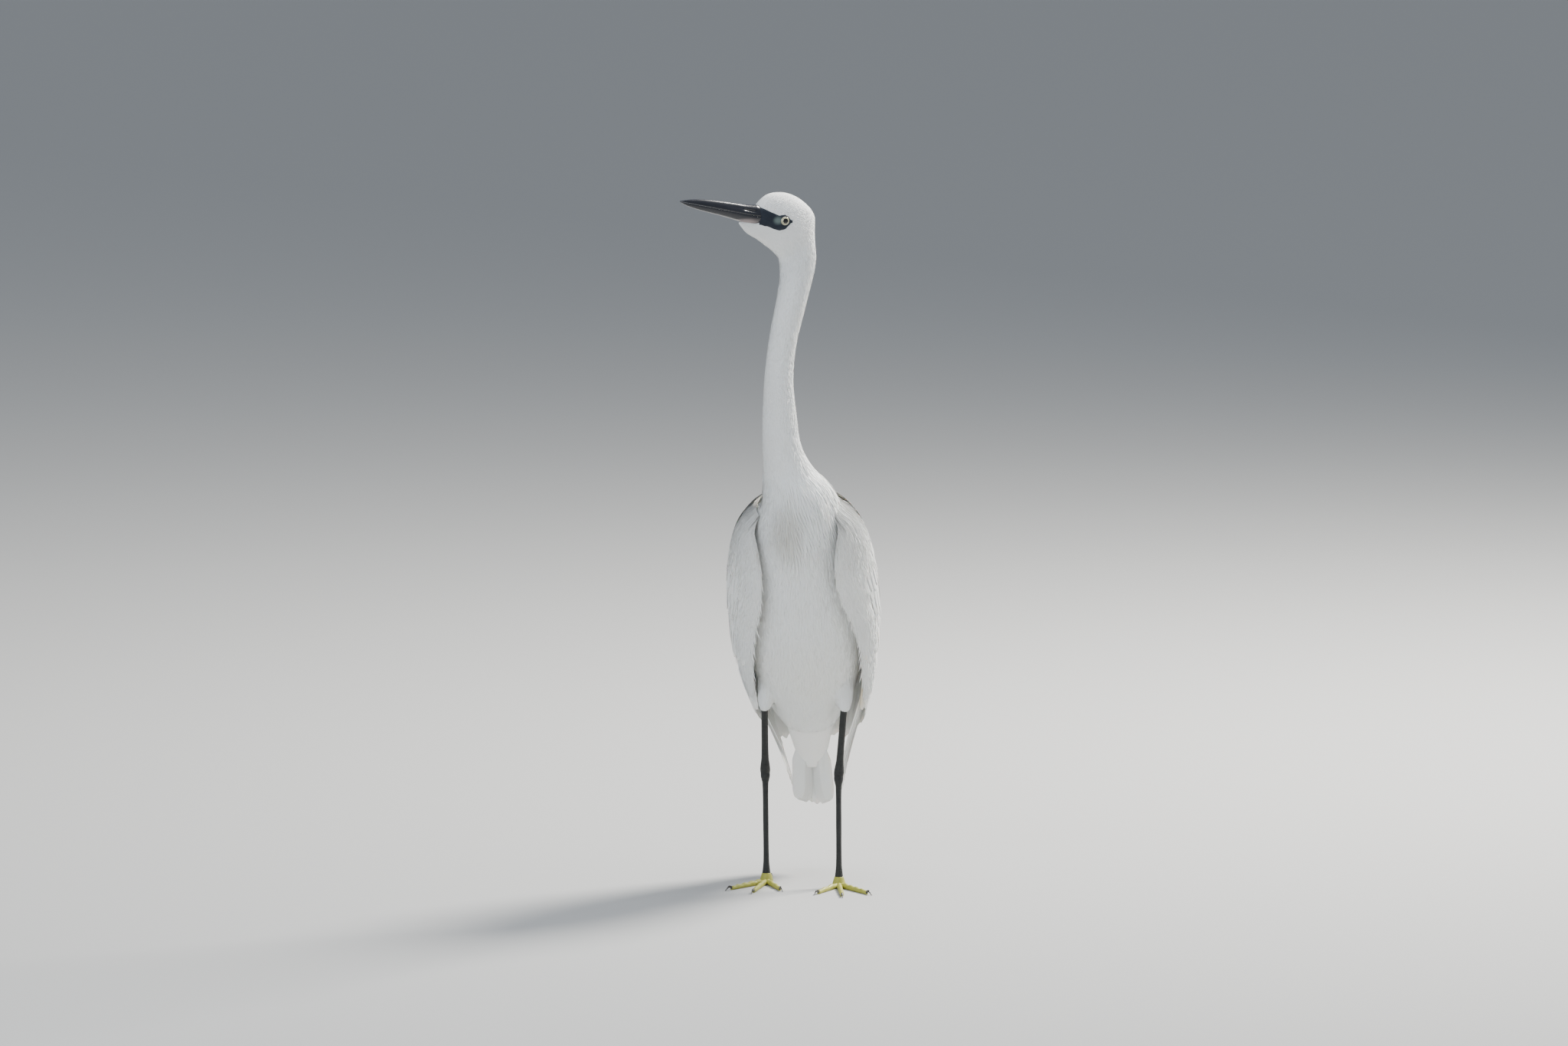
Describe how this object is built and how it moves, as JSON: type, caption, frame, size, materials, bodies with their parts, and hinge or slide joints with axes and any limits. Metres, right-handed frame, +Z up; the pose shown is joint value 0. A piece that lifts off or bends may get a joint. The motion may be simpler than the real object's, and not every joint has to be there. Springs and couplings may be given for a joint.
{
  "type": "little egret",
  "caption": "Life-size still model of a small white heron standing alert, neck stretched up, head turned to its right, wings folded.",
  "frame": {"origin": "on the floor that the feet stand on, under the middle of the bird's outer box", "axes": "+Z up; the bird's body faces -Y, turned 5.5 degrees to its right; +X is roughly its left side"},
  "size_m": [0.182, 0.2374, 0.6466],
  "materials": {
    "plumage": "matte",
    "bill": "satin",
    "bare_skin": "satin",
    "eye": "gloss",
    "leg_skin": "satin",
    "foot_skin": "satin",
    "claw": "satin"
  },
  "bodies": {
    "root": {"torso": "plumage", "neck_lower": "plumage", "neck_upper": "plumage", "head": "plumage", "bill_upper": "bill", "bill_lower": "bill", "eye_left": "eye", "eye_right": "eye", "wing_left": "plumage", "wing_right": "plumage", "tail": "plumage", "thigh_left": "plumage", "thigh_right": "plumage", "shank_left": "leg_skin", "shank_right": "leg_skin", "tarsus_left": "leg_skin", "tarsus_right": "leg_skin", "foot_left": "foot_skin", "foot_right": "foot_skin", "claw_left_inner": "claw", "claw_left_middle": "claw", "claw_left_outer": "claw", "claw_left_hind": "claw", "claw_right_inner": "claw", "claw_right_middle": "claw", "claw_right_outer": "claw", "claw_right_hind": "claw"}
  },
  "joints": []
}
